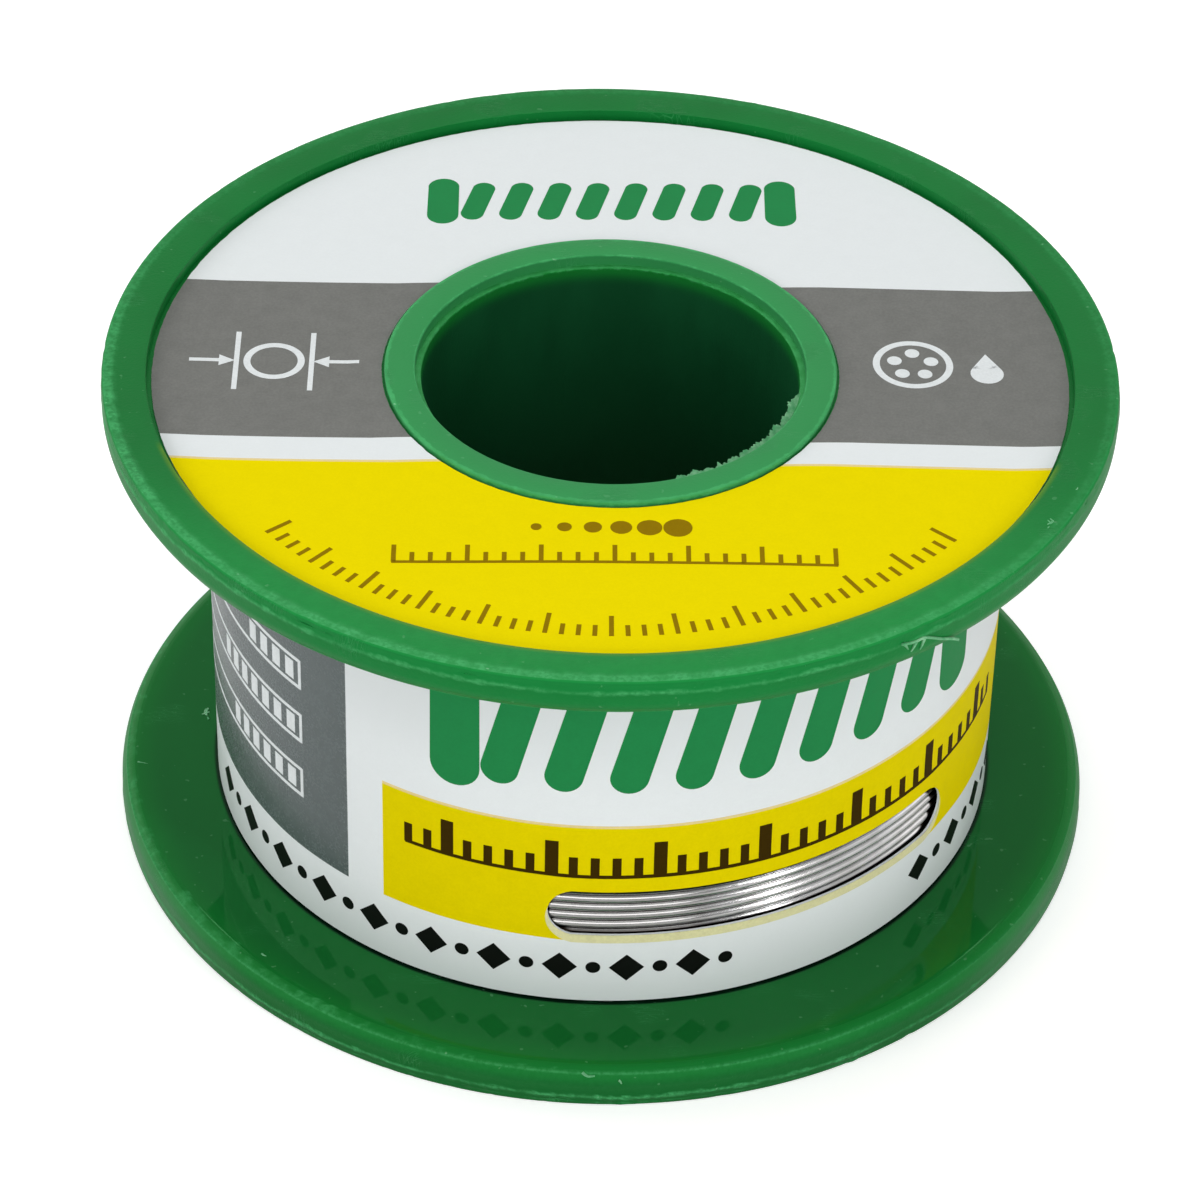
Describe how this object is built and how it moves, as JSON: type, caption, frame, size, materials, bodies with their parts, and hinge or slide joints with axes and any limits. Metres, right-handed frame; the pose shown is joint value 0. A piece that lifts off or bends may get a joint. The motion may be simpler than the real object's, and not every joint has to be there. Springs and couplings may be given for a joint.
{
  "type": "solder wire spool",
  "caption": "Flanged plastic spool of fine solder wire, with paper labels on its ends and round the wire and a through bore for a spindle.",
  "frame": {"origin": "middle of the lower rim, in the plane that the spool stands on", "axes": "+Z along the spool's axis, upwards; the window in the wrap label is towards -Y and +X"},
  "size_m": [0.058, 0.058, 0.0307],
  "materials": {
    "green_flange": "satin moulded polystyrene, worn edges",
    "green_core": "satin moulded polystyrene",
    "solder": "bright drawn tin alloy wire",
    "wrap_paper": "printed coated paper",
    "ring_paper": "printed coated paper"
  },
  "bodies": {
    "root": {"core_tube": "green_core", "lower_flange": "green_flange", "upper_flange": "green_flange", "solder_winding": "solder", "wrap_label": "wrap_paper", "lower_flange_label": "ring_paper", "upper_flange_label": "ring_paper"}
  },
  "joints": []
}
